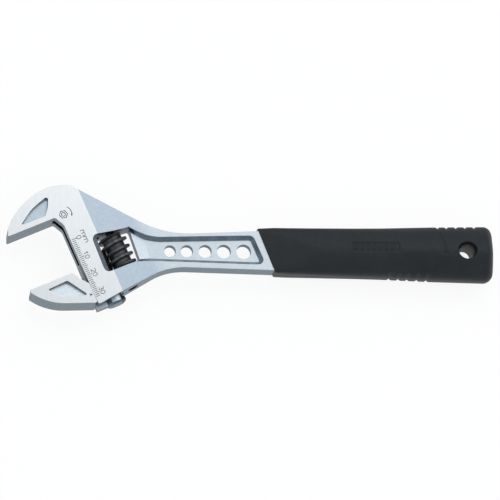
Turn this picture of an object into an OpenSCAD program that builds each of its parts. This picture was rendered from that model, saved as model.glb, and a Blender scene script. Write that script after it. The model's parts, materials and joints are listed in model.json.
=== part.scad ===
// Adjustable wrench, nominal length 250 mm, with a wide-opening head and a moulded rubber grip.
//
// The origin is the centre of the hang hole, halfway through the thickness. +X runs from the jaws
// to the grip's end, +Y points to the fixed jaw's back, and +Z is the face that carries the scale.
//
// The head is laid out in the slide frame: u runs away from the jaw tips, square to the travel, and
// s runs along the travel, from the fixed jaw's face (s = 0) towards a wider opening.

/* [Jaws] */
// Distance between the two jaw faces as drawn
jaw_opening = 30; // [0:1:34]
// Angle of the jaw faces to the handle
jaw_angle = 23; // [22.5:0.5:23.5]
// Thickness of the head and of both jaws
head_thick = 17; // [16.5:0.25:17.5]
// Length of the fixed jaw's face, from its tip to the throat
fixed_face = 28.8; // [28:0.2:29.4]
// Length of the movable jaw's tip, from the throat
movable_face = 29.2; // [29:0.1:29.8]
// Gap between the movable jaw and the throat
throat_gap = 0.12; // [0.1:0.01:0.2]
// Depth of the triangular face pockets at their deepest corner
pocket_depth = 2.4; // [1.5:0.1:3]

/* [Slide rod and rack] */
// Diameter of the rod that slides in the head
rod_dia = 11.1; // [11:0.05:11.2]
// Distance from the throat to the rod's axis
rod_u = 9.8; // [9.7:0.05:9.8]
// Thickness of the neck that joins the movable jaw to its rod
neck_thick = 5.5; // [5:0.1:6]
// Radial clearance of the rod in its bore
rod_clearance = 0.08; // [0.05:0.01:0.12]

/* [Worm] */
// Outside diameter of the worm
worm_dia = 14.7; // [14.5:0.1:14.8]
// Root diameter of the worm
worm_root_dia = 10.3; // [10.2:0.1:10.4]
// Distance between two turns of the worm and between two rack teeth
pitch = 4.2; // [4.1:0.05:4.2]
// Distance from the throat to the worm's axis
worm_u = 21; // [21:0.05:21.2]
// Diameter of the pin that the worm turns on
pin_dia = 4; // [3.8:0.1:4]
// Radial clearance of the worm on its pin
pin_clearance = 0.05; // [0.03:0.01:0.08]

/* [Handle] */
// Thickness of the handle's two rails
handle_thick = 11; // [10.5:0.25:11.5]
// Thickness of the web between the rails
web_thick = 4.8; // [4:0.2:5.6]
// How far the recess walls lean in, from the handle's face down to the web
wall_draft = 1.9; // [1.5:0.1:2]
// Diameter of the first hole in the web
first_hole_dia = 6; // [5.5:0.1:6.2]
// Diameter of the last hole in the web
last_hole_dia = 7.6; // [7:0.1:7.8]

/* [Grip] */
// Greatest thickness of the rubber grip
grip_thick = 21; // [20:0.25:22]
// Diameter of the hang hole in the rubber
hang_hole_dia = 8; // [7.6:0.2:9]
// Diameter of the hang hole in the steel
steel_hole_dia = 14; // [13:0.5:15]

/* [Hidden] */
$fn = 72;
ARC_STEP = 5;
THROAT = [-210.24, 16.49];
THROUGH = 40;
LONG = 320;
SKIN = 0.01;
rod_r = rod_dia / 2;
worm_r = worm_dia / 2;
worm_root_r = worm_root_dia / 2;
pin_r = pin_dia / 2;
half_head = head_thick / 2;
half_handle = handle_thick / 2;
half_web = web_thick / 2;

// The head: where its parts begin and end along s
bore_top = -6.6;
slot_start_u = -3.6;
head_bottom = 50.1;
crease_u = 14.1;
handle_u = 38;
window_bottom = 36.4;

// The worm: its ends, its first front ridge and the hollow for its spring
worm_top = 18.7;
worm_bottom = 36;
worm_end_chamfer = 0.6;
front_ridge_s = 22.8;
ridge_root_half = 1.25;
ridge_crest_half = 0.78;
spring_seat_r = 3.5;
spring_seat_depth = 4.4;

// The pin: a plain shank in a blind hole, and a slotted screw head below the worm
pin_top = 9.4;
pin_shoulder = 37;
pin_bottom = 42.4;
pin_head_r = 2.84;
pin_hole_r = 2.9;
blind_hole_r = pin_r + 0.03;
driver_slot = [0.9, 1.2];

// The spring: a coil round the pin, between the window's end wall and the worm
spring_wire_r = 0.35;
spring_coil_r = 2.85;
spring_top = 18.2;
spring_turns = 3.5;
spring_pitch = 1.2;

// The rack: teeth along the rod's side that faces the worm
rack_clearance = 0.2;
rack_root_u = 13.3;
rod_top = -6;
rod_bottom = 22.5;
rod_chamfer = 1.1;
neck_top = -3.5;
neck_bottom = 21.7;
neck_front_u = -1;

// The grip
grip_end_x = 14.5;
grip_crown_r = 28.3;
web_hole_x = [-153.5, -144.8, -135.4, -125.7, -115.5];

// Outlines: each corner is [x, y, radius], or [u, s, radius] in the slide frame

// A corner given in the slide frame, moved to the part's own frame
function from_slide(u, s, r) = [
    THROAT.x + u * cos(jaw_angle) + s * sin(jaw_angle),
    THROAT.y + u * sin(jaw_angle) - s * cos(jaw_angle),
    r
];

// The forging's silhouette, from the fixed jaw's tip over its back, round the handle and up the throat
body_outline = [
    from_slide(-fixed_face, 0, 0.5),
    [-236.9, 9.15, 1.5],
    [-231.86, 21.74, 38],
    [-214.46, 33.41, 24],
    [-204.9, 32.65, 4],
    [-155.8, 8.05, 52],
    [-100, 10.7, 30],
    [10.9, 11.6, 7],
    [10.9, -11.6, 7],
    [-100, -10.3, 30],
    [-154.8, -8.9, 34],
    from_slide(0, head_bottom, 1.2),
    from_slide(0, 5.2, 4),
    from_slide(-2.7, 0, 1.2)
];

// Half-thickness along u: flat head, sloping neck, flat handle
face_profile = [
    [-40, half_head],
    [crease_u, half_head],
    [handle_u, half_handle],
    [LONG, half_handle],
    [LONG, -half_handle],
    [handle_u, -half_handle],
    [crease_u, -half_head],
    [-40, -half_head]
];

// Window that holds the worm
window_outline = [
    [12.9, 16.2, 2.2],
    [30.7, 18.4, 1],
    [29.3, window_bottom, 1.2],
    [12.1, window_bottom, 1.8]
];

// Outer edge of the bevel round the window's left end, at the head's face
bevel_outline = [
    [10.6, 15.4, 3],
    [30, 18, 1.6],
    [28.4, window_bottom + 0.15, 1.2],
    [9.8, window_bottom + 0.15, 3]
];
bevel_depth = 1.3;

// Movable jaw's block, with s measured from its own face
jaw_outline = [
    [-movable_face, 0, 0.4],
    [-movable_face - 0.4, 1.4, 0.6],
    [-23.83, 9.94, 30],
    [-throat_gap, 19.2, 0.8],
    [-throat_gap, 8.3, 1.2],
    [-3.8, 3.9, 3],
    [-5.9, 0, 0.8]
];

// Pockets in the jaws: the walls close in a little towards a centre, and the floor deepens away from a
// hinge line, given as [x, y, angle], to pocket_depth at the distance called reach
pocket_foot_scale = 0.93;
fixed_pocket_centre = [-220.6, 18.3];
fixed_pocket_hinge = [-226.7, -2.8, 19.5];
fixed_pocket_reach = 25;
movable_pocket_centre = [-11.4, -8];
movable_pocket_hinge = [-18.5, -20.7, -28.5];
movable_pocket_reach = 21;

// Pocket in the fixed jaw's face, in the part's frame
fixed_pocket = [
    [-230.1, 11.3, 0.3],
    [-224.6, 20, 24],
    [-216.2, 27.2, 1],
    [-216.4, 20.8, 12],
    [-217.8, 16.3, 0.5]
];

// Pocket in the movable jaw's face, in the jaw's own slide frame
movable_pocket = [
    [-21.2, 3.3, 0.5],
    [-9.9, 2.7, 1.4],
    [-3, 13.4, 0.6],
    [-12.6, 11.8, 14]
];

// Straight part of the handle recess, at the handle's face
recess_outline = [
    [-163, 6.6, 0],
    [-154, 6.5, 30],
    [-110.8, 8, 3.3],
    [-104.4, -7.2, 2.5],
    [-112, -7.25, 6],
    [-163, -5.9, 0]
];

// Part of the recess that flares out to the worm window, at the handle's face
flare_outline = [
    [-175.5, 12.6, 1.5],
    [-154, 9, 0],
    [-154, -6.05, 0],
    [-171.5, -5.75, 0]
];

// Bulge of the rail into the flare: an arc at the handle's face, given as [x, y, radius]
flare_bulge = [-156.5, 46.6, 40];

// Ramp of the flare's floor, beside the window's end wall
ramp_run = 5.6;
ramp_rise = 3.9;

// Grip's silhouette
grip_outline = [
    [-108.4, 11.6, 0.8],
    [-95.8, 12.5, 60],
    [-44, 13.2, 200],
    [8.6, 14.7, 5.5],
    [13.6, 11.4, 4],
    [grip_end_x + 0.1, 0, 14],
    [13.4, -10.6, 4],
    [9.6, -14.8, 4.5],
    [-44, -13, 200],
    [-95.8, -11.9, 12],
    [-99.9, -11.4, 0.8]
];

// Grip's half-thickness along x: close to the steel at the front and clear of the crown from the middle
grip_profile = [
    [-112, 6.1],
    [-99, 6.5],
    [-60, 8.4],
    [-22, grip_thick / 2 + 0.8],
    [6, grip_thick / 2 + 0.8],
    [grip_end_x + 1, grip_thick / 2 - 1.6],
    [grip_end_x + 1, -grip_thick / 2 + 1.6],
    [6, -grip_thick / 2 - 0.8],
    [-22, -grip_thick / 2 - 0.8],
    [-60, -8.4],
    [-99, -6.5],
    [-112, -6.1]
];

// Functions

function unit(v) = v / norm(v);

// Points that round the corner b, between a and c, with radius r
function corner(a, b, c, r) =
    let (
        to_a = unit(a - b),
        to_c = unit(c - b),
        half = acos(to_a * to_c) / 2,
        centre = b + unit(to_a + to_c) * r / sin(half),
        from = b + to_a * r / tan(half) - centre,
        start = atan2(from.y, from.x),
        sweep = sign(cross(b - a, c - b)) * (180 - 2 * half),
        steps = max(2, ceil(abs(sweep) / ARC_STEP))
    )
    r == 0 ? [b] : [
        for (i = [0:steps])
            let (turn = start + sweep * i / steps) centre + r * [cos(turn), sin(turn)]
    ];

function xy(p) = [p.x, p.y];

// A closed outline with its corners rounded
function rounded(outline) =
    let (n = len(outline))
    [
        for (i = [0:n - 1])
            let (before = outline[(i + n - 1) % n], here = outline[i], after = outline[(i + 1) % n])
                each corner(xy(before), xy(here), xy(after), here.z)
    ];

// The same for an outline in the slide frame, whose s runs down the page
function rounded_us(outline) = rounded([for (p = outline) [p.x, -p.y, p.z]]);

// Shared shapes

module slide_frame() {
    translate([THROAT.x, THROAT.y, 0]) rotate(jaw_angle) children();
}

// Children stand at u, s with their own z along the travel and their own y along the thickness
module along_travel(u, s) {
    translate([u, -s, 0]) rotate([90, 0, 0]) children();
}

module both_faces() {
    children();
    mirror([0, 0, 1]) children();
}

// A pocket in a jaw's face, whose floor slopes down on the left of its hinge line
module sloped_pocket(outline, centre, hinge, reach) {
    fall = atan(pocket_depth / reach);
    intersection() {
        translate([centre.x, centre.y, half_head + SKIN]) mirror([0, 0, 1])
            linear_extrude(pocket_depth + 1, scale = pocket_foot_scale) translate(-centre) polygon(outline);
        translate([hinge.x, hinge.y, half_head]) rotate(hinge.z) rotate([-fall, 0, 0])
            translate([-THROUGH, -1, 0]) cube(2 * THROUGH);
    }
}

// A recess with sloping walls, from above the neck's face down to the web
module drafted_recess(outline) {
    slope = wall_draft / (half_handle - half_web);
    hull() {
        translate([0, 0, half_head]) linear_extrude(SKIN)
            offset(delta = slope * (half_head - half_handle)) polygon(rounded(outline));
        translate([0, 0, half_web]) linear_extrude(SKIN)
            offset(delta = -wall_draft) polygon(rounded(outline));
    }
}

// One helical ridge as a closed band: profile is [radius, height] and the band climbs one pitch a turn
module helix_band(profile, climb, from_turn, to_turn, steps_per_turn) {
    steps = ceil((to_turn - from_turn) * steps_per_turn);
    count = len(profile);
    points = [
        for (i = [0:steps])
            let (turn = from_turn + (to_turn - from_turn) * i / steps)
            for (p = profile) [p.x * cos(360 * turn), p.x * sin(360 * turn), p.y + climb * turn]
    ];
    sides = [
        for (i = [0:steps - 1])
            for (k = [0:count - 1])
                let (next = (k + 1) % count)
                [i * count + k, i * count + next, (i + 1) * count + next, (i + 1) * count + k]
    ];
    first_cap = [for (k = [count - 1:-1:0]) k];
    last_cap = [for (k = [0:count - 1]) steps * count + k];
    polyhedron(points, concat(sides, [first_cap, last_cap]), convexity = 10);
}

// Body: the forged head, fixed jaw and handle

module body_blank() {
    intersection() {
        linear_extrude(THROUGH, center = true) polygon(rounded(body_outline));
        slide_frame() rotate([90, 0, 0]) linear_extrude(LONG, center = true) polygon(face_profile);
    }
}

module rod_passage() {
    slot = neck_thick + 2 * rod_clearance;
    depth = head_bottom + 5 - bore_top;
    along_travel(rod_u, bore_top) cylinder(h = depth, r = rod_r + rod_clearance);
    along_travel(slot_start_u, bore_top) translate([0, -slot / 2, 0])
        cube([rod_u - slot_start_u, slot, depth]);
}

module worm_window() {
    linear_extrude(THROUGH, center = true) polygon(rounded_us(window_outline));
    both_faces() window_bevel();
}

module window_bevel() {
    hull() {
        translate([0, 0, half_head]) linear_extrude(SKIN) polygon(rounded_us(bevel_outline));
        translate([0, 0, half_head - bevel_depth]) linear_extrude(SKIN)
            offset(delta = -0.03) polygon(rounded_us(window_outline));
    }
}

module pin_holes() {
    along_travel(worm_u, pin_top - 0.4) cylinder(h = 12, r = blind_hole_r);
    along_travel(worm_u, window_bottom - 1) cylinder(h = 15, r = pin_hole_r);
}

// Material that stays in the flare: its floor ramps up from the web to the window's end wall
module recess_ramp() {
    top = window_outline[1];
    bottom = window_outline[2];
    lean = atan((top.x - bottom.x) / (bottom.y - top.y));
    overlap = 10;
    slide_frame() translate([top.x, -top.y, 0]) rotate(-90 - lean)
        translate([-overlap, 0, 0]) rotate([90, 0, 90]) linear_extrude(THROUGH)
            polygon([
                [-overlap, 0],
                [-overlap, ramp_rise],
                [0, ramp_rise],
                [ramp_run, half_web],
                [ramp_run, 0]
            ]);
}

// The rail's bulge, a cone that leans like the recess walls
module rail_bulge() {
    slope = wall_draft / (half_handle - half_web);
    translate([flare_bulge.x, flare_bulge.y, 0]) cylinder(
        h = head_thick,
        r1 = flare_bulge.z + slope * half_handle,
        r2 = flare_bulge.z + slope * (half_handle - head_thick),
        $fn = 180
    );
}

module handle_recess() {
    drafted_recess(recess_outline);
    difference() {
        drafted_recess(flare_outline);
        recess_ramp();
        rail_bulge();
    }
}

module web_holes() {
    last = len(web_hole_x) - 1;
    for (i = [0:last]) {
        dia = first_hole_dia + (last_hole_dia - first_hole_dia) * i / last;
        translate([web_hole_x[i], 0, 0]) cylinder(h = THROUGH, d = dia, center = true);
    }
}

module body() {
    color("lightsteelblue") difference() {
        body_blank();
        slide_frame() {
            rod_passage();
            worm_window();
            pin_holes();
        }
        both_faces() {
            handle_recess();
            sloped_pocket(
                rounded(fixed_pocket), fixed_pocket_centre, fixed_pocket_hinge, fixed_pocket_reach
            );
        }
        web_holes();
        cylinder(h = THROUGH, d = steel_hole_dia, center = true);
    }
}

// Movable jaw: block, neck and toothed rod

module jaw_block() {
    difference() {
        linear_extrude(head_thick, center = true) polygon(rounded_us(jaw_outline));
        both_faces() sloped_pocket(
            rounded_us(movable_pocket), movable_pocket_centre, movable_pocket_hinge, movable_pocket_reach
        );
    }
}

// Gap between two rack teeth, wide enough for a ridge of the worm and its clearance
module tooth_gap() {
    root_half = ridge_crest_half + rack_clearance - 0.02;
    tip_half = ridge_root_half + rack_clearance;
    tip_u = worm_u - worm_root_r;
    lead = atan(pitch / (2 * PI * (worm_root_r + worm_r) / 2));
    rotate([-lead, 0, 0]) translate([0, 0, -THROUGH / 2]) linear_extrude(THROUGH)
        polygon([[rack_root_u, -root_half], [rack_root_u, root_half], [tip_u, tip_half], [tip_u, -tip_half]]);
}

module slide_rod() {
    first_gap = front_ridge_s + pitch / 4 - jaw_opening;
    gaps_up = ceil((first_gap - rod_top) / pitch);
    gaps_down = ceil((rod_bottom - first_gap) / pitch);
    difference() {
        union() {
            along_travel(rod_u, rod_top) cylinder(h = rod_bottom - rod_chamfer - rod_top, r = rod_r);
            along_travel(rod_u, rod_bottom - rod_chamfer)
                cylinder(h = rod_chamfer, r1 = rod_r, r2 = rod_r - rod_chamfer);
            along_travel(neck_front_u, neck_top) translate([0, -neck_thick / 2, 0])
                cube([rod_u - neck_front_u, neck_thick, neck_bottom - neck_top]);
        }
        for (i = [-gaps_up:gaps_down]) {
            translate([0, -first_gap - i * pitch, 0]) tooth_gap();
        }
    }
}

module movable_jaw() {
    color("gainsboro") slide_frame() translate([0, -jaw_opening, 0]) {
        jaw_block();
        slide_rod();
    }
}

// Worm: the thumb-turned screw that drives the rack

module worm_thread() {
    inner = worm_root_r - 0.3;
    ridge = [
        [inner, -ridge_root_half],
        [worm_r - 0.45, -ridge_crest_half],
        [worm_r, -ridge_crest_half + 0.35],
        [worm_r, ridge_crest_half - 0.35],
        [worm_r - 0.45, ridge_crest_half],
        [inner, ridge_root_half]
    ];
    first_turn = floor((worm_top - front_ridge_s) / pitch) - 1;
    last_turn = ceil((worm_bottom - front_ridge_s) / pitch) + 1;
    translate([0, 0, front_ridge_s - pitch / 4]) helix_band(ridge, pitch, first_turn, last_turn, 32);
}

module worm_envelope() {
    r = worm_r + 0.1;
    rotate_extrude() polygon([
        [0, worm_top],
        [r - worm_end_chamfer, worm_top],
        [r, worm_top + worm_end_chamfer],
        [r, worm_bottom - worm_end_chamfer],
        [r - worm_end_chamfer, worm_bottom],
        [0, worm_bottom]
    ]);
}

module worm() {
    color("dimgray") slide_frame() along_travel(worm_u, 0) difference() {
        union() {
            translate([0, 0, worm_top]) cylinder(h = worm_bottom - worm_top, r = worm_root_r);
            intersection() {
                worm_thread();
                worm_envelope();
            }
        }
        translate([0, 0, worm_top - 1]) cylinder(h = LONG, r = pin_r + pin_clearance);
        translate([0, 0, worm_top - 1]) cylinder(h = spring_seat_depth + 1, r = spring_seat_r);
    }
}

module worm_pin() {
    color("slategray") slide_frame() along_travel(worm_u, 0) difference() {
        rotate_extrude() polygon([
            [0, pin_top],
            [pin_r - 0.4, pin_top],
            [pin_r, pin_top + 0.4],
            [pin_r, pin_shoulder],
            [pin_head_r, pin_shoulder + 0.4],
            [pin_head_r, pin_bottom - 0.3],
            [pin_head_r - 0.3, pin_bottom],
            [0, pin_bottom]
        ]);
        translate([-LONG / 2, -driver_slot.x / 2, pin_bottom - driver_slot.y])
            cube([LONG, driver_slot.x, LONG]);
    }
}

module worm_spring() {
    sides = 8;
    wire = [
        for (k = [0:sides - 1])
            let (turn = 360 * k / sides) [spring_coil_r, 0] + spring_wire_r * [cos(turn), sin(turn)]
    ];
    color("silver") slide_frame() along_travel(worm_u, spring_top + spring_wire_r)
        helix_band(wire, spring_pitch, 0, spring_turns, 24);
}

// Grip: the rubber sleeve over the handle's end

module grip_shell() {
    crown_drop = grip_thick / 2 - grip_crown_r;
    intersection() {
        linear_extrude(THROUGH, center = true) polygon(rounded(grip_outline));
        rotate([90, 0, 0]) linear_extrude(LONG, center = true) polygon(grip_profile);
        translate([-LONG / 2, 0, crown_drop]) rotate([0, 90, 0]) cylinder(h = LONG, r = grip_crown_r);
        translate([-LONG / 2, 0, -crown_drop]) rotate([0, 90, 0]) cylinder(h = LONG, r = grip_crown_r);
    }
}

module handle_core() {
    difference() {
        linear_extrude(handle_thick, center = true) polygon(rounded(body_outline));
        cylinder(h = THROUGH, d = steel_hole_dia, center = true);
    }
}

module grip() {
    color("dimgray") difference() {
        grip_shell();
        handle_core();
        cylinder(h = THROUGH, d = hang_hole_dia, center = true);
    }
}

body();
movable_jaw();
worm();
worm_pin();
worm_spring();
grip();
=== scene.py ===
"""The looks of the adjustable wrench.

Chromed and satin steel, a blackened worm, a moulded rubber grip and the jaw scale's marks. A name that
ends in _U, _S, _X or _R gives a place across the slide, along it or along the handle, or a radius.
"""
import json
import math
from types import SimpleNamespace

import bmesh
import bpy
import numpy as np
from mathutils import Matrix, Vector


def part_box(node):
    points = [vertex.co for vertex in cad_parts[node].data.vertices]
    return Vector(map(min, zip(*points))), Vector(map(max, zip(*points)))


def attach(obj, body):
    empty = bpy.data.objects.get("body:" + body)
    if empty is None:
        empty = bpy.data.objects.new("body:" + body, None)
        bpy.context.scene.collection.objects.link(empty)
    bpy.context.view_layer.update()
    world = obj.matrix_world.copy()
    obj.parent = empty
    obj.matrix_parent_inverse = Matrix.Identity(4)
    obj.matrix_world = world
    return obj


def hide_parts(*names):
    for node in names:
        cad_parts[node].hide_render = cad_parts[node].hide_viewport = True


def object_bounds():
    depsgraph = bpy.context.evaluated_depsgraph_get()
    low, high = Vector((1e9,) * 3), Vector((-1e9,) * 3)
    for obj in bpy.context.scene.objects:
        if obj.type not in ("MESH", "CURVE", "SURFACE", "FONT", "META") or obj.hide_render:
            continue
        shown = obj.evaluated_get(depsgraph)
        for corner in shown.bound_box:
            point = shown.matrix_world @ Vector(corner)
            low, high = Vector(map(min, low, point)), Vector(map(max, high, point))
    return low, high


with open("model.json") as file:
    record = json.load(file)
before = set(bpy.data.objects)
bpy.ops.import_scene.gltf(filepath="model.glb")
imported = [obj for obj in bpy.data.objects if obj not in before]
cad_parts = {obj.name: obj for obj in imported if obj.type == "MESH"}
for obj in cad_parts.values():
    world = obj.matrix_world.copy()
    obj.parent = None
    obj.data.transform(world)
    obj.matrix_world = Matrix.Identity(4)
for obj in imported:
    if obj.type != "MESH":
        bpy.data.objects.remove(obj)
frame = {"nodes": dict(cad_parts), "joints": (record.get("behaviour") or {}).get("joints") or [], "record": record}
CAD_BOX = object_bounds()
RECORD = frame["record"]
MM = 0.001

# ---------------------------------------------------------------- frame: the slide's directions and origin

joint = {j["name"]: j for j in frame["joints"]}
mount = {m["name"]: m for m in RECORD["mounts"]}
SLIDE = Vector(joint["jaw_slide"]["axis"]).normalized()
ACROSS = Vector((-SLIDE.y, SLIDE.x, 0))
FACE_POINT_U = -15 * MM
THROAT = Vector(mount["fixed_jaw_face"]["pos_m"]) - ACROSS * FACE_POINT_U
OPENING = (Vector(mount["movable_jaw_face"]["pos_m"]) - THROAT).dot(SLIDE)
HALF_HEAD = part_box("body")[1].z
CREASE_U = 14.1 * MM
HANDLE_U = 38 * MM
HALF_HANDLE = 5.5 * MM
CREASE_REACH = 9 * MM
HALF_WEB = 2.4 * MM
ROD_U, BORE_R, BORE_TOP_S = 9.8 * MM, 5.63 * MM, -6.6 * MM
PIN_U, PIN_HOLE_R, PIN_HOLE_TOP_S = 21 * MM, 2.93 * MM, 36.5 * MM
WINDOW_U, WINDOW_S = (9.5 * MM, 32.6 * MM), (14.6 * MM, 37.3 * MM)
BEVEL_END_U = 15 * MM
HALF_SLOT = 2.9 * MM
WEB_HOLE_REACH = 4.4 * MM
RACK_U = 12.4 * MM
WORM_AXIS_POINT = Vector(joint["worm_spin"]["pos_m"])


def at(u, s):
    """A point halfway through the head, from millimetres across and along the slide."""
    return THROAT + ACROSS * (u * MM) + SLIDE * (s * MM)


# ---------------------------------------------------------------- node graphs


class Graph:
    """A material's node tree with short calls for the nodes that the materials here use."""

    def __init__(self, name):
        self.material = bpy.data.materials.new(name)
        self.material.use_nodes = True
        self.tree = self.material.node_tree
        self.shader = self.tree.nodes["Principled BSDF"]
        self.coords = self.tree.nodes.new("ShaderNodeTexCoord")

    def put(self, value, socket):
        if isinstance(value, bpy.types.NodeSocket):
            self.tree.links.new(value, socket)
        elif value is not None:
            socket.default_value = value

    def math(self, operation, a, b=None):
        node = self.tree.nodes.new("ShaderNodeMath")
        node.operation = operation
        self.put(a, node.inputs[0])
        self.put(b, node.inputs[1])
        return node.outputs[0]

    def vector(self, operation, a, b=None, output=0):
        node = self.tree.nodes.new("ShaderNodeVectorMath")
        node.operation = operation
        self.put(a, node.inputs[0])
        self.put(b, node.inputs[1])
        return node.outputs[output]

    def dot(self, a, direction):
        return self.vector("DOT_PRODUCT", a, tuple(direction), output="Value")

    def step(self, value, low, high):
        """0 below low and 1 above high, or the other way round when low is the larger."""
        node = self.tree.nodes.new("ShaderNodeMapRange")
        node.interpolation_type = "SMOOTHSTEP"
        flipped = low > high
        self.put(value, node.inputs["Value"])
        self.put(min(low, high), node.inputs["From Min"])
        self.put(max(low, high), node.inputs["From Max"])
        self.put(1.0 if flipped else 0.0, node.inputs["To Min"])
        self.put(0.0 if flipped else 1.0, node.inputs["To Max"])
        return node.outputs["Result"]

    def noise(self, per_metre, detail=3.0, roughness=0.5, stretch=(1, 1, 1), turn=0.0):
        """Noise in the object's own coordinates, with a size given as features in each metre."""
        mapping = self.tree.nodes.new("ShaderNodeMapping")
        mapping.inputs["Scale"].default_value = stretch
        mapping.inputs["Rotation"].default_value = (0, 0, turn)
        self.tree.links.new(self.coords.outputs["Object"], mapping.inputs["Vector"])
        node = self.tree.nodes.new("ShaderNodeTexNoise")
        node.inputs["Scale"].default_value = per_metre
        node.inputs["Detail"].default_value = detail
        node.inputs["Roughness"].default_value = roughness
        self.tree.links.new(mapping.outputs["Vector"], node.inputs["Vector"])
        return node.outputs["Fac"]

    def mix(self, factor, a, b):
        node = self.tree.nodes.new("ShaderNodeMix")
        node.data_type = "RGBA"
        self.put(factor, node.inputs["Factor"])
        self.put(a, node.inputs[6])
        self.put(b, node.inputs[7])
        return node.outputs[2]

    def blend(self, factor, a, b):
        node = self.tree.nodes.new("ShaderNodeMix")
        node.data_type = "FLOAT"
        self.put(factor, node.inputs["Factor"])
        self.put(a, node.inputs["A"])
        self.put(b, node.inputs["B"])
        return node.outputs["Result"]

    def all_of(self, *masks):
        """1 where every mask is 1."""
        result = masks[0]
        for mask in masks[1:]:
            result = self.math("MULTIPLY", result, mask)
        return result

    def length(self, a, b):
        """The long side of a right angle, from its two short sides."""
        return self.math("SQRT", self.math("ADD", self.math("MULTIPLY", a, a), self.math("MULTIPLY", b, b)))

    def bump(self, height, distance, strength=1.0, normal=None):
        node = self.tree.nodes.new("ShaderNodeBump")
        node.inputs["Distance"].default_value = distance
        node.inputs["Strength"].default_value = strength
        self.put(height, node.inputs["Height"])
        if normal is not None:
            self.put(normal, node.inputs["Normal"])
        return node.outputs["Normal"]

    def rounded_edges(self, radius):
        node = self.tree.nodes.new("ShaderNodeBevel")
        node.samples = 6
        node.inputs["Radius"].default_value = radius
        return node.outputs["Normal"]

    def set(self, **values):
        for name, value in values.items():
            self.put(value, self.shader.inputs[name.replace("_", " ")])


def grey(r, g=None, b=None):
    return (r, r if g is None else g, r if b is None else b, 1.0)


def edge_mask(g, rounded):
    """How far the rounded normal turns from the true one: near 1 on an edge and 0 on a flat."""
    geometry = g.tree.nodes.new("ShaderNodeNewGeometry")
    along = g.vector("DOT_PRODUCT", rounded, geometry.outputs["Normal"], output="Value")
    return g.step(along, 0.995, 0.86)


def split(g, vector):
    node = g.tree.nodes.new("ShaderNodeSeparateXYZ")
    g.tree.links.new(vector, node.inputs[0])
    return node.outputs


# Colours of the chromed forging, by surface. The polished faces are a real finish. The satin flats are lit and
# shaded copies of one satin, darker on the neck and pocket as painted shade. The side, wall, pocket-wall, cavity
# and bevel colours are painted shade, and the inside colour is painted shade and oil.
POLISHED = (0.79, 0.82, 0.84), (0.89, 0.905, 0.915)
SHADED_NECK = (0.42, 0.495, 0.575), (0.5, 0.575, 0.65)
RAIL = (0.63, 0.70, 0.755), (0.72, 0.785, 0.825)
SHADED_POCKET = (0.47, 0.555, 0.635), (0.56, 0.645, 0.72)
WEB = (0.62, 0.705, 0.765), (0.74, 0.8, 0.845)
SHADED_SIDE = (0.115, 0.16, 0.195), (0.155, 0.21, 0.25)
CAVITY_SHADE = (0.06, 0.085, 0.11), (0.09, 0.12, 0.155)
BEVEL_SHADE = (0.15, 0.18, 0.21), (0.24, 0.28, 0.32)
RECESS_WALL_SHADE = (0.29, 0.35, 0.4), (0.37, 0.44, 0.48)
POCKET_WALL_SHADE = (0.012, 0.018, 0.024), (0.03, 0.04, 0.048)
INSIDE_SHADE_AND_OIL = (0.02, 0.024, 0.028), (0.045, 0.052, 0.06)
EDGE_GLINT = 0.22


def eased_crease(g, place, normal):
    """Turns the normal near the handle's start, so that the neck's slope runs out smoothly into it."""
    slope = (HALF_HEAD - HALF_HANDLE) / (HANDLE_U - CREASE_U)
    smooth = g.step(place.u, HANDLE_U + CREASE_REACH, HANDLE_U - CREASE_REACH)
    sharp = g.math("LESS_THAN", place.u, HANDLE_U)
    outer = g.all_of(place.flat, g.step(place.height, HALF_HANDLE - 0.3 * MM, HALF_HANDLE - 0.15 * MM))
    turn = g.math("MULTIPLY", g.math("SUBTRACT", smooth, sharp), outer)
    lean = g.vector("MULTIPLY", tuple(ACROSS * slope), turn)
    return g.vector("NORMALIZE", g.vector("ADD", normal, lean))


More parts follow.
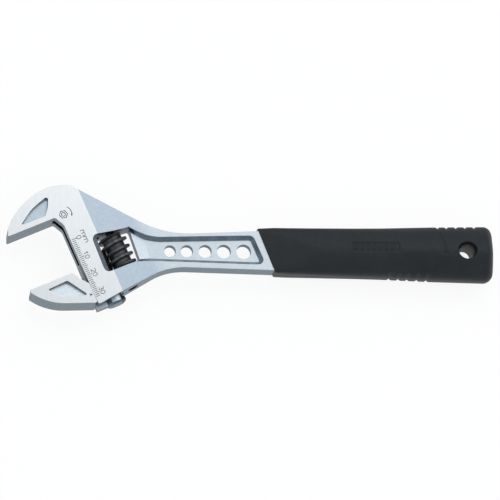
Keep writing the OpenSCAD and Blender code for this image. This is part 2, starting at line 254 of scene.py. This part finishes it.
def chrome_steel(name, zones, has_neck=False):
    """A chromed forging: polished on the head's faces, satin elsewhere, with painted shade on its sides and walls
    and a painted highlight along its edges.

    zones(g, place) lists pairs of a mask and a colour range, painted in order over the sides' painted shade.
    """
    g = Graph(name)
    position = g.coords.outputs["Object"]
    place = SimpleNamespace(
        upright=g.math("ABSOLUTE", split(g, g.coords.outputs["Normal"])["Z"]),
        height=g.math("ABSOLUTE", split(g, position)["Z"]),
        u=g.math("SUBTRACT", g.dot(position, ACROSS), THROAT.dot(ACROSS)),
        s=g.math("SUBTRACT", g.dot(position, SLIDE), THROAT.dot(SLIDE)),
        y=g.math("ABSOLUTE", split(g, position)["Y"]),
    )
    place.flat = g.step(place.upright, 0.88, 0.94)
    mottle = g.noise(160, detail=4, roughness=0.6)
    speckle = g.noise(620, detail=2, roughness=0.8)
    grain = g.noise(900, detail=5, roughness=0.65)
    ground = g.noise(420, detail=4, roughness=0.6, stretch=(9, 0.6, 1), turn=0.12)

    tone = g.blend(0.6, g.step(mottle, 0.3, 0.7), g.step(speckle, 0.3, 0.7))

    def shade(tones):
        return g.mix(tone, grey(*tones[0]), grey(*tones[1]))

    # The base colour is painted shade on the sides; the zones paint over it
    colour = shade(SHADED_SIDE)
    for mask, tones in zones(g, place):
        colour = g.mix(mask, colour, shade(tones))
    polished = g.all_of(
        g.step(place.upright, 0.97, 0.99),
        g.step(place.height, HALF_HEAD - 0.25 * MM, HALF_HEAD - 0.1 * MM),
        g.step(place.u, CREASE_U + 0.15 * MM, CREASE_U - 0.05 * MM),
    )
    shine = g.mix(g.step(ground, 0.25, 0.75), grey(*POLISHED[0]), grey(*POLISHED[1]))
    colour = g.mix(polished, colour, shine)
    rounded = g.rounded_edges(0.28 * MM)
    colour = g.mix(g.math("MULTIPLY", edge_mask(g, rounded), EDGE_GLINT), colour, grey(0.72, 0.76, 0.8))
    if has_neck:
        rounded = eased_crease(g, place, rounded)
    scratch = g.noise(260, detail=3, roughness=0.7, stretch=(0.35, 14, 1), turn=-0.5)
    roughness = g.blend(polished, g.blend(mottle, 0.36, 0.5), g.blend(ground, 0.24, 0.36))
    roughness = g.math("ADD", roughness, g.math("MULTIPLY", g.step(scratch, 0.71, 0.76), 0.12))
    satin_relief = g.math("MULTIPLY", grain, g.blend(polished, 1.0, 0.18))
    relief = g.bump(satin_relief, 0.02 * MM, 0.55, normal=rounded)
    relief = g.bump(g.math("MULTIPLY", ground, polished), 0.006 * MM, 0.5, normal=relief)
    g.set(Base_Color=colour, Roughness=roughness, Normal=relief)
    g.shader.inputs["Metallic"].default_value = 1.0
    return g.material


def body_zones(g, place):
    """The body's surfaces: the flats by region in lit and shaded satin tints, then the walls in painted shade, and
    last the bore, slot and pin hole in painted shade.
    """
    u, s, height, flat = place.u, place.s, place.height, place.flat
    in_jaw = g.step(u, 0.1 * MM, -0.1 * MM)
    steep = g.math("SUBTRACT", 1.0, flat)
    wall = g.all_of(steep, g.step(place.upright, 0.12, 0.3))
    in_window = g.all_of(
        steep,
        g.step(u, WINDOW_U[0], WINDOW_U[0] + 0.2 * MM), g.step(u, WINDOW_U[1], WINDOW_U[1] - 0.3 * MM),
        g.step(s, WINDOW_S[0], WINDOW_S[0] + 0.3 * MM), g.step(s, WINDOW_S[1], WINDOW_S[1] - 0.3 * MM),
    )
    bevel = g.all_of(in_window, g.step(place.upright, 0.3, 0.5), g.step(u, BEVEL_END_U + MM, BEVEL_END_U))
    in_web = g.step(height, HALF_WEB + 0.1 * MM, HALF_WEB + 0.05 * MM)
    web_hole = g.all_of(
        steep, in_web,
        g.step(place.y, WEB_HOLE_REACH + 0.2 * MM, WEB_HOLE_REACH), g.step(u, HANDLE_U, HANDLE_U + MM),
    )
    below_back = g.step(s, BORE_TOP_S - 0.3 * MM, BORE_TOP_S - 0.1 * MM)
    bore = g.step(g.length(g.math("SUBTRACT", u, ROD_U), height), BORE_R + 0.12 * MM, BORE_R + 0.05 * MM)
    bore = g.all_of(bore, below_back)
    pin_hole = g.step(g.length(g.math("SUBTRACT", u, PIN_U), height), PIN_HOLE_R + 0.05 * MM, PIN_HOLE_R)
    pin_hole = g.all_of(pin_hole, g.step(s, PIN_HOLE_TOP_S, PIN_HOLE_TOP_S + 0.3 * MM))
    slot = g.all_of(
        g.step(height, HALF_SLOT + 0.1 * MM, HALF_SLOT), g.step(place.upright, 0.4, 0.6),
        g.step(u, ROD_U, ROD_U - 0.1 * MM), below_back,
    )
    return [
        # Satin flats in lit and shaded tints; the neck and pocket tints are darker as painted shade
        (flat, RAIL),
        (g.all_of(flat, g.step(u, HANDLE_U + 6 * MM, HANDLE_U - 6 * MM)), SHADED_NECK),
        (g.all_of(flat, g.step(height, HALF_HANDLE - 0.15 * MM, HALF_HANDLE - 0.3 * MM)), WEB),
        (g.all_of(flat, in_jaw), SHADED_POCKET),
        # Painted shade on the recess walls, the window's walls and bevel, and the web holes' walls
        (wall, RECESS_WALL_SHADE),
        (in_window, CAVITY_SHADE),
        (bevel, BEVEL_SHADE),
        (web_hole, CAVITY_SHADE),
        # Painted shade on the pocket walls, as a dark line along them
        (g.all_of(wall, in_jaw), POCKET_WALL_SHADE),
        # Painted shade inside the bore, slot and pin hole, partly oil
        (bore, INSIDE_SHADE_AND_OIL),
        (slot, INSIDE_SHADE_AND_OIL),
        (pin_hole, INSIDE_SHADE_AND_OIL),
    ]


def jaw_zones(g, place):
    """The movable jaw's surfaces: its pocket, whose walls get painted shade, then the neck and rod, whose rack is
    painted dark, partly as shade in its grooves and partly as oil.
    """
    in_block = g.step(place.u, 0.05 * MM, -0.05 * MM)
    steep = g.math("SUBTRACT", 1.0, place.flat)
    wall = g.all_of(in_block, steep, g.step(place.upright, 0.12, 0.3))
    rack = g.step(place.u, RACK_U, RACK_U + 0.5 * MM)
    # The pocket walls get painted shade; the rack is painted dark, partly as shade in its grooves and partly as
    # oil
    return [(place.flat, RAIL), (wall, POCKET_WALL_SHADE), (rack, INSIDE_SHADE_AND_OIL)]


def black_oxide():
    """Blackened steel: nearly black, worn to grey metal along the crests."""
    g = Graph("worm_black_oxide")
    from_axis = g.vector("SUBTRACT", g.coords.outputs["Object"], tuple(WORM_AXIS_POINT))
    along = g.dot(from_axis, SLIDE)
    distance = g.vector("LENGTH", from_axis, output="Value")
    squares = g.math("MULTIPLY", distance, distance), g.math("MULTIPLY", along, along)
    radius = g.math("SQRT", g.math("SUBTRACT", *squares))
    patch = g.noise(420, detail=4, roughness=0.65)
    crest = g.math("MULTIPLY", g.step(radius, 6.9 * MM, 7.35 * MM), g.step(patch, 0.35, 0.75))
    colour = g.mix(g.step(patch, 0.25, 0.8), grey(0.048, 0.051, 0.055), grey(0.115, 0.12, 0.128))
    colour = g.mix(g.math("MULTIPLY", crest, 0.55), colour, grey(0.28, 0.29, 0.31))
    roughness = g.blend(patch, 0.3, 0.52)
    grain = g.noise(1600, detail=3, roughness=0.6)
    relief = g.bump(grain, 0.015 * MM, 0.5, normal=g.rounded_edges(0.2 * MM))
    g.set(Base_Color=colour, Roughness=roughness, Metallic=0.55, Normal=relief)
    return g.material


def rubber():
    """Matte moulded rubber: fine spark-eroded grain, a faint bloom, and a painted highlight along the edges."""
    g = Graph("grip_rubber")
    grain = g.noise(2600, detail=4, roughness=0.7)
    cloud = g.noise(55, detail=3, roughness=0.55)
    bloom = g.noise(240, detail=4, roughness=0.6)
    rounded = g.rounded_edges(0.35 * MM)
    edge = edge_mask(g, rounded)
    colour = g.mix(g.step(cloud, 0.3, 0.7), grey(0.0075, 0.0112, 0.014), grey(0.0122, 0.0176, 0.0215))
    colour = g.mix(g.math("MULTIPLY", g.step(bloom, 0.5, 0.8), 0.35), colour, grey(0.034, 0.038, 0.042))
    # Painted highlight: a lighter colour along the rounded edges
    colour = g.mix(g.math("MULTIPLY", edge, 0.3), colour, grey(0.045, 0.05, 0.054))
    roughness = g.blend(cloud, 0.5, 0.62)
    relief = g.bump(grain, 0.04 * MM, 0.55, normal=rounded)
    g.set(Base_Color=colour, Roughness=roughness, Normal=relief)
    g.shader.inputs["Specular IOR Level"].default_value = 0.45
    return g.material


def oiled_steel(name, tint, roughness_range):
    """Turned or drawn steel with a fine uneven finish."""
    g = Graph(name)
    finish = g.noise(2200, detail=2)
    cloud = g.noise(350, detail=3)
    darker = tuple(0.7 * c for c in tint[:3]) + (1.0,)
    colour = g.mix(g.step(cloud, 0.3, 0.7), tint, darker)
    relief = g.bump(finish, 0.01 * MM, 0.4)
    g.set(Base_Color=colour, Roughness=g.blend(finish, *roughness_range), Metallic=1.0, Normal=relief)
    return g.material


def etched_ink():
    """The dark fill of an etched line, slightly uneven."""
    g = Graph("etched_ink")
    patch = g.noise(1500, detail=3)
    colour = g.mix(g.step(patch, 0.3, 0.75), grey(0.02, 0.024, 0.03), grey(0.05, 0.056, 0.066))
    g.set(Base_Color=colour, Roughness=g.blend(patch, 0.45, 0.65), Metallic=0.3)
    return g.material


def floor_paper():
    g = Graph("floor_paper")
    fibre = g.noise(900, detail=4)
    colour = g.mix(fibre, grey(0.14, 0.14, 0.14), grey(0.17, 0.17, 0.17))
    g.set(Base_Color=colour, Roughness=0.85, Normal=g.bump(fibre, 0.03 * MM, 0.2))
    g.shader.inputs["Emission Color"].default_value = (1, 1, 1, 1)
    g.shader.inputs["Emission Strength"].default_value = 0.89
    g.shader.inputs["Specular IOR Level"].default_value = 0.1
    return g.material


# ---------------------------------------------------------------- mesh helpers


def new_object(name, verts, faces, material, smooth=True):
    mesh = bpy.data.meshes.new(name)
    mesh.from_pydata([tuple(v) for v in verts], [], faces)
    mesh.validate()
    bm = bmesh.new()
    bm.from_mesh(mesh)
    bmesh.ops.recalc_face_normals(bm, faces=bm.faces)
    bm.to_mesh(mesh)
    bm.free()
    for polygon in mesh.polygons:
        polygon.use_smooth = smooth
    obj = bpy.data.objects.new(name, mesh)
    bpy.context.scene.collection.objects.link(obj)
    obj.data.materials.append(material)
    return obj


def dress(node, material):
    obj = frame["nodes"][node]
    for slot in obj.material_slots:
        slot.material = material
    if not obj.material_slots:
        obj.data.materials.append(material)


# ---------------------------------------------------------------- worm: one closed skin, in millimetres

PITCH = 4.2
FRONT_RIDGE_S = 22.8
WORM_TOP, WORM_BOTTOM = 18.7, 36.0
WORM_R, WORM_ROOT_R = 7.33, 5.15
WORM_BORE_R = 2.05
SEAT_R, SEAT_FLOOR_S = 3.5, 23.1
RIDGE_HALF_FOOT, RIDGE_FLANK = 1.27, 0.72
KNURLS, KNURL_DEPTH = 54, 0.1


def worm_radius(angle, s):
    """The worm's outer radius in millimetres at an angle round its axis and a place along it."""
    turns = (s - FRONT_RIDGE_S) / PITCH + 0.25 - angle / (2 * math.pi)
    off_ridge = abs(turns - round(turns)) * PITCH
    rise = min(1.0, max(0.0, (RIDGE_HALF_FOOT - off_ridge) / RIDGE_FLANK))
    rise = rise * rise * (3 - 2 * rise)
    knurl = KNURL_DEPTH * max(0.0, rise - 0.7) / 0.3 * (1 - math.cos(KNURLS * angle)) / 2
    radius = WORM_ROOT_R + (WORM_R - WORM_ROOT_R) * rise - knurl
    end_gap = min(s - WORM_TOP, WORM_BOTTOM - s)
    return min(radius, WORM_R - 0.75 + 1.1 * end_gap)


def make_worm(material):
    around, along = 216, 132
    outer = [("outer", WORM_TOP + (WORM_BOTTOM - WORM_TOP) * i / along) for i in range(along + 1)]
    inner = [
        (WORM_BORE_R + 0.3, WORM_BOTTOM),
        (WORM_BORE_R, WORM_BOTTOM - 0.3),
        (WORM_BORE_R, SEAT_FLOOR_S),
        (SEAT_R, SEAT_FLOOR_S),
        (SEAT_R, WORM_TOP + 0.2),
        (SEAT_R + 0.2, WORM_TOP),
    ]
    axis_u = (WORM_AXIS_POINT - THROAT).dot(ACROSS)
    rows = outer + inner
    verts = []
    for kind, s in rows:
        for k in range(around):
            angle = 2 * math.pi * k / around
            r = (worm_radius(angle, s) if kind == "outer" else kind) * MM
            ring = ACROSS * (axis_u + r * math.cos(angle)) + Vector((0, 0, r * math.sin(angle)))
            verts.append(THROAT + SLIDE * (s * MM) + ring)
    faces = []
    for i in range(len(rows)):
        for k in range(around):
            j, m = (i + 1) % len(rows), (k + 1) % around
            faces.append((i * around + k, i * around + m, j * around + m, j * around + k))
    worm = new_object("worm_screw", verts, faces, material)
    worm.data.set_sharp_from_angle(angle=math.radians(50))
    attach(worm, "knurl")
    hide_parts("worm")


# ---------------------------------------------------------------- grip: a lofted sleeve, in millimetres

GRIP_FRONT_X, GRIP_END_X = -104.0, 14.0
FRONT_SLANT = -0.383
GRIP_POINTS = 184
END_CORNER = (9.2, 9.9, 4.8)
TOP_GROOVES = (-14.5, -9.9, -4.9, -0.2, 4.6)
BOTTOM_GROOVES = (-39.9, -35.0, -30.4, -25.4, -20.5)
PANEL = (-59.9, -35.2, -0.9, 4.3)
PANEL_EDGE, PANEL_DEPTH, RIB_HEIGHT = 0.45, 0.5, 0.4
ARROW_DEPTH = 0.32
GROOVE_WIDTH, GROOVE_DEPTH = 0.62, 0.75
MOUTH_GROWTH, MOUTH_SHIFT, MOUTH_FLOOR, MOUTH_END = 3.3, 2.9, 6.0, 12.0

# Each pair gives places along the grip and the values there
TOP_EDGE = (-109, -104, -96, -44, -18, 9), (11.1, 11.9, 12.45, 13.2, 14.1, 14.6)
BOTTOM_EDGE = (-109, -100, -96, -44, -18, 9), (11.4, 11.75, 11.9, 13.0, 14.1, 14.7)
CREST = (-104, -95, -78, -60, -30, -18, 14.5), (6.2, 6.8, 8.2, 9.3, 10.3, 10.48, 10.4)
FLAT = (-104, -79), (11.5, 0.0)
SLOPE = (-104, -84, -60, -30), (0.0, 0.16, 0.26, 0.28)
POWER = (-104, -90, -60, -20), (9.0, 6.0, 4.0, 3.3)


def soft(value, low, high):
    """A smooth step from 0 at low to 1 at high."""
    t = np.clip((value - low) / (high - low), 0, 1)
    return t * t * (3 - 2 * t)


def within(value, low, high, edge):
    """1 between low and high, with a smooth step inside each end, and 0 outside."""
    return soft(value, low, low + edge) * (1 - soft(value, high - edge, high))


def along_grip(x, table):
    return float(np.interp(x, *table))


def grip_width(x, side):
    """Half-width of the grip at x, on the +Y side (1) or the -Y side (-1)."""
    return along_grip(x, TOP_EDGE if side > 0 else BOTTOM_EDGE)


def grip_section(x, scale, inset):
    """Points round the grip at x, as rows of y and z, starting at the +Y side."""
    crest = along_grip(x, CREST)
    end_edge = 4.2
    over = max(0.0, x - (GRIP_END_X - end_edge))
    crest -= end_edge - math.sqrt(max(0.0, end_edge**2 - over**2))
    flat, slope, power = (along_grip(x, table) for table in (FLAT, SLOPE, POWER))
    angle = np.linspace(0, 2 * math.pi, 1201)
    reach_y = np.sign(np.cos(angle)) * np.abs(np.cos(angle)) ** (2 / power)
    reach_z = np.sign(np.sin(angle)) * np.abs(np.sin(angle)) ** (2 / power)
    width = np.where(reach_y >= 0, grip_width(x, 1), grip_width(x, -1))
    y = reach_y * width
    drop = slope * (np.hypot(np.maximum(np.abs(y) - flat, 0), 2.2) - 2.2)
    z = reach_z * (crest - drop)
    run = np.concatenate(([0], np.cumsum(np.hypot(np.diff(y), np.diff(z)))))
    even = np.linspace(0, run[-1], GRIP_POINTS, endpoint=False)
    y, z = np.interp(even, run, y), np.interp(even, run, z)
    shrink = scale * (1 - inset / 11)
    return y * shrink, z * shrink


def grip_rows():
    """Stations along the grip: x, scale of the section, and inset at the rolled front edge."""
    rolled_front = (0, 0.5), (0.04, 0.3), (0.14, 0.13), (0.3, 0.03)
    rows = [(GRIP_FRONT_X + x, 1.0, inset) for x, inset in rolled_front]
    corner_x, corner_y, corner_r = END_CORNER
    steps = 330
    rows += [(x, 1.0, 0.0) for x in np.linspace(GRIP_FRONT_X + 0.5, corner_x, steps)]
    full = corner_y + corner_r
    for turn in np.radians(np.linspace(6, 80, 15)):
        x = corner_x + corner_r * math.sin(turn)
        rows.append((x, (corner_y + corner_r * math.cos(turn)) / full, 0.0))
    last_x, last_scale, _ = rows[-1]
    for share in (0.92, 0.8, 0.65, 0.48, 0.3, 0.12):
        rows.append((last_x + (GRIP_END_X - last_x) * (1 - share**2), last_scale * share, 0.0))
    return rows


TURN_ARC = (-28.1, 0.3, 16.5)
TURN_ARC_ENDS = (-8, 35)


def turn_arrow(x, y):
    """1 inside the moulded arc arrow that shows which way the grip is pulled, and 0 outside it."""
    centre_x, centre_y, radius = TURN_ARC
    reach = np.hypot(x - centre_x, y - centre_y)
    turn = np.degrees(np.arctan2(y - centre_y, x - centre_x))
    line = 1 - soft(np.abs(reach - radius), 0.25, 0.5)
    line = line * (turn > TURN_ARC_ENDS[0]) * (turn < TURN_ARC_ENDS[1])
    past_tip = TURN_ARC_ENDS[0] - turn + 8
    half_barb = 0.19 * np.maximum(past_tip, 0)
    barb = 1 - soft(np.abs(reach - radius), half_barb, half_barb + 0.2)
    return np.maximum(line, barb * (turn < TURN_ARC_ENDS[0] + 8) * (past_tip < 8))


def grip_relief(x, y, z, width):
    """Moves a station's points inwards along y at the edge grooves and along z in the face details."""
    for centres, side in ((TOP_GROOVES, 1), (BOTTOM_GROOVES, -1)):
        for centre in centres:
            notch = math.exp(-(((x - centre) / GROOVE_WIDTH) ** 2)) * GROOVE_DEPTH
            edge = soft(side * y / width, 0.82, 0.95)
            y = y - side * notch * edge
            z = z * (1 - 0.03 * notch * edge)
    x0, x1, y0, y1 = PANEL
    inside = within(x, x0, x1, PANEL_EDGE) * within(y, y0, y1, PANEL_EDGE)
    stripe = 0.5 + 0.5 * np.sin(2 * math.pi * (x - 0.45 * y) / 3.1)
    core = within(x, x0 + 1.2, x1 - 1.2, 0.4) * within(y, y0 + 0.9, y1 - 0.9, 0.4)
    depth = PANEL_DEPTH * inside - RIB_HEIGHT * core * soft(stripe, 0.35, 0.65)
    depth = depth + ARROW_DEPTH * turn_arrow(x, y)
    return y, z - np.sign(z) * depth * (np.abs(z) > 4)


def make_grip(material):
    verts, faces = [], []
    rows = grip_rows()
    for x, scale, inset in rows:
        y, z = grip_section(x, scale, inset)
        y, z = grip_relief(x, y, z, grip_width(x, 1))
        slant = FRONT_SLANT * (1 - float(soft(x, GRIP_FRONT_X, -70)))
        verts += [(float(a) * MM, float(b) * MM, float(c) * MM) for a, b, c in zip(x + slant * y, y, z)]
    n = GRIP_POINTS
    for i in range(len(rows) - 1):
        for k in range(n):
            m = (k + 1) % n
            faces.append((i * n + k, i * n + m, (i + 1) * n + m, (i + 1) * n + k))
    faces.append(tuple(range(n)))
    faces.append(tuple(len(verts) - n + k for k in range(n)))
    grip = new_object("grip_sleeve", verts, faces, material)
    cut_hang_hole(grip)
    grip.data.set_sharp_from_angle(angle=math.radians(42))
    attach(grip, "frame")
    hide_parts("grip")


def cut_hang_hole(grip):
    """Drills the hang hole: straight from the back, with a wider moulded mouth on the face with the scale."""
    hole_r = mount["hang_hole"]["dims"]["r_mm"]
    profile = [(hole_r, 0.0, -MOUTH_END), (hole_r, 0.0, -4.0), (hole_r, 0.0, 4.0)]
    for share in np.linspace(0, 1, 9):
        flare = 1 - math.sqrt(1 - share**2)
        z = MOUTH_FLOOR + (MOUTH_END - MOUTH_FLOOR) * share
        profile.append((hole_r + MOUTH_GROWTH * flare, MOUTH_SHIFT * flare, z))
    around = 96
    verts = []
    for r, shift, z in profile:
        for k in range(around):
            angle = 2 * math.pi * k / around
            verts.append((r * math.cos(angle) * MM, (r * math.sin(angle) + shift) * MM, z * MM))
    faces = []
    for i in range(len(profile) - 1):
        for k in range(around):
            m = (k + 1) % around
            faces.append((i * around + k, i * around + m, (i + 1) * around + m, (i + 1) * around + k))
    faces.append(tuple(range(around)))
    faces.append(tuple(len(verts) - around + k for k in range(around)))
    cutter = new_object("cutter", verts, faces, grip.data.materials[0])
    boolean = grip.modifiers.new("hang_hole", "BOOLEAN")
    boolean.operation = "DIFFERENCE"
    boolean.solver = "EXACT"
    boolean.object = cutter
    graph = bpy.context.evaluated_depsgraph_get()
    cut = bpy.data.meshes.new_from_object(grip.evaluated_get(graph))
    grip.modifiers.clear()
    grip.data = cut
    bpy.data.objects.remove(cutter)
    for polygon in cut.polygons:
        polygon.use_smooth = True


# ---------------------------------------------------------------- marks: thin inlays on the head's face

INK_HEIGHT = 0.02 * MM
INK_DEPTH = 0.08 * MM
LINE = 0.3
DIGIT_H, DIGIT_W = 2.3, 1.65
M_HEIGHT, M_WIDTH = 1.8, 3.0
SCALE_ZERO_S = 14.0
SCALE_END = 32
TICKS = {10: 2.7, 5: 2.4, 1: 2.0}
SYMBOL_CENTRE = Vector((-208.4, 17.3, 0)) * MM
SYMBOL_LINE, HEXAGON_R, RING_R, TURN_R = 0.36, 2.1, 1.0, 4.3


class Inlay:
    """Collects flat strokes, given in millimetres in a plane, into one closed-stroke mesh."""

    def __init__(self, place):
        self.place = place
        self.verts, self.faces = [], []

    def slab(self, loop):
        """A flat closed shape from its corners in order."""
        base, n = len(self.verts), len(loop)
        for z in (HALF_HEAD - INK_DEPTH, HALF_HEAD + INK_HEIGHT):
            self.verts += [self.place(x, y) + Vector((0, 0, z)) for x, y in loop]
        self.faces.append(tuple(base + k for k in range(n)))
        self.faces.append(tuple(base + n + k for k in range(n)))
        for k in range(n):
            m = (k + 1) % n
            self.faces.append((base + k, base + m, base + n + m, base + n + k))

    def stroke(self, points, width=LINE, closed=False):
        """A line of even width through the points, as one quad for each stretch with mitred ends."""
        pts = [Vector(p) for p in points]
        count = len(pts)
        sides = []
        for i, p in enumerate(pts):
            before = pts[i - 1] if closed or i > 0 else None
            after = pts[(i + 1) % count] if closed or i < count - 1 else None
            ways = [(p - before).normalized()] if before is not None else []
            ways += [(after - p).normalized()] if after is not None else []
            way = sum(ways, Vector((0, 0))).normalized()
            out = Vector((-way.y, way.x)) * (width / 2 / max(0.4, way.dot(ways[0])))
            sides.append((p + out, p - out))
        for i in range(count if closed else count - 1):
            (a, b), (c, d) = sides[i], sides[(i + 1) % count]
            self.slab([a, b, d, c])

    def make(self, name, material, body):
        mark = new_object(name, self.verts, self.faces, material, smooth=False)
        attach(mark, body)


def arc(cx, cy, rx, ry, start, end, steps):
    """Points on part of an ellipse, between two angles in degrees."""
    turns = [math.radians(start + (end - start) * i / steps) for i in range(steps + 1)]
    return [(cx + rx * math.cos(t), cy + ry * math.sin(t)) for t in turns]


def glyph(symbol):
    """The strokes of a plain scale figure, in a box DIGIT_W wide and DIGIT_H high."""
    w, h = DIGIT_W, DIGIT_H
    if symbol == "0":
        return [arc(w / 2, h / 2, w / 2, h / 2, 0, 348, 20) + [(w, h / 2)]]
    if symbol == "1":
        return [[(w * 0.25, h * 0.78), (w * 0.6, h), (w * 0.6, 0)]]
    if symbol == "2":
        return [arc(w / 2, h * 0.72, w / 2, h * 0.28, 165, -35, 12) + [(0, 0), (w, 0)]]
    if symbol == "3":
        top = arc(w / 2, h * 0.76, w * 0.42, h * 0.24, 150, -80, 10)
        return [top, arc(w / 2, h * 0.27, w / 2, h * 0.27, 85, -150, 12)]
    if symbol == "m":
        hump, half = M_HEIGHT, M_WIDTH / 4
        strokes = [[(0, 0), (0, hump)]]
        for start in (0, 2 * half):
            over = arc(start + half, hump * 0.6, half, hump * 0.4, 160, 0, 8)
            strokes.append([(start, hump * 0.5)] + over + [(start + 2 * half, 0)])
        return strokes
    raise ValueError(symbol)


def write(inlay, text, u, s, width=DIGIT_W, height=DIGIT_H, gap=0.55):
    """Figures that read along the slide, with their tops away from the throat, centred on u and s."""
    line = len(text) * (width + gap) - gap
    for i, symbol in enumerate(text):
        start = s - line / 2 + i * (width + gap)
        for points in glyph(symbol):
            inlay.stroke([(u - height / 2 + y, start + x) for x, y in points])


def make_marks(material):
    head = Inlay(at)
    for millimetre in range(SCALE_END + 1):
        length = next(long for step, long in TICKS.items() if millimetre % step == 0)
        s = SCALE_ZERO_S + millimetre
        head.stroke([(0.5, s), (0.5 + length, s)])
    for figure, s in (("0", 14.0), ("10", 23.9), ("20", 33.9), ("30", 43.9)):
        write(head, figure, 4.5, s)
    write(head, "mm", 7.3, 14.5, M_WIDTH, M_HEIGHT)
    head.make("jaw_scale", material, "frame")

    symbol = Inlay(lambda x, y: SYMBOL_CENTRE + Vector((x * MM, y * MM, 0)))
    symbol.stroke(arc(0, 0, HEXAGON_R, HEXAGON_R, 15, 315, 5), SYMBOL_LINE, closed=True)
    symbol.stroke(arc(0, 0, RING_R, RING_R, 0, 345, 22), SYMBOL_LINE, closed=True)
    symbol.stroke(arc(0, 0, TURN_R, TURN_R, 66, 2, 12), SYMBOL_LINE)
    symbol.slab([(4.75, 0.5), (4.2, -1.0), (3.85, 0.45)])
    symbol.make("nut_symbol", material, "frame")

    pointer = Inlay(at)
    tip_s = SCALE_ZERO_S + OPENING / MM
    pointer.slab([(-0.5, tip_s), (-2.4, tip_s - 0.75), (-2.0, tip_s), (-2.4, tip_s + 0.75)])
    pointer.make("jaw_pointer", material, "jaw")


# ---------------------------------------------------------------- finishes

dress("body", chrome_steel("body_chrome", body_zones, has_neck=True))
dress("movable_jaw", chrome_steel("jaw_chrome", jaw_zones))
dress("worm_pin", oiled_steel("pin_steel", grey(0.11, 0.115, 0.125), (0.3, 0.45)))
dress("worm_spring", oiled_steel("spring_wire", grey(0.45, 0.45, 0.46), (0.25, 0.35)))
make_worm(black_oxide())
make_grip(rubber())
make_marks(etched_ink())

# ---------------------------------------------------------------- stage, light and camera

SKY, SKY_STRENGTH = (0.93, 0.965, 1.0, 1), 0.54
KEY_WATTS, FILL_WATTS = 5.2, 0.25
# Fitted to the object's outline in the photo
LENS_MM = 282.56
CAMERA_PLACE = (-0.33327, -0.48241, 1.94778)
CAMERA_TURN_DEG = (13.9776, -6.2459, -0.9683)

floor_z = CAD_BOX[0].z - 0.1 * MM
bpy.ops.mesh.primitive_plane_add(size=8, location=(CAD_BOX[0].x, 0, floor_z))
floor = bpy.context.object
floor.name = "studio_floor"
floor.data.materials.append(floor_paper())

world = bpy.data.worlds.new("studio")
bpy.context.scene.world = world
world.use_nodes = True
sky = world.node_tree.nodes["Background"].inputs
sky["Color"].default_value = SKY
sky["Strength"].default_value = SKY_STRENGTH


def soft_box(name, place, aim, size, watts):
    light = bpy.data.lights.new(name, "AREA")
    light.shape = "RECTANGLE"
    light.size, light.size_y = size
    light.energy = watts
    obj = bpy.data.objects.new(name, light)
    bpy.context.scene.collection.objects.link(obj)
    obj.location = place
    obj.rotation_euler = (aim - place).to_track_quat("-Z", "Y").to_euler()


centre = (CAD_BOX[0] + CAD_BOX[1]) / 2
soft_box("key", centre + Vector((0.35, 0.75, 1.3)), centre, (1.5, 1.0), KEY_WATTS)
soft_box("fill", centre + Vector((-0.9, -0.3, 0.9)), centre, (0.8, 0.8), FILL_WATTS)

camera_data = bpy.data.cameras.new("photo_camera")
camera_data.lens = LENS_MM
camera_data.sensor_width = 36
camera = bpy.data.objects.new("photo_camera", camera_data)
bpy.context.scene.collection.objects.link(camera)
camera.location = CAMERA_PLACE
camera.rotation_euler = [math.radians(a) for a in CAMERA_TURN_DEG]
bpy.context.scene.camera = camera
bpy.context.scene.view_settings.view_transform = "Standard"
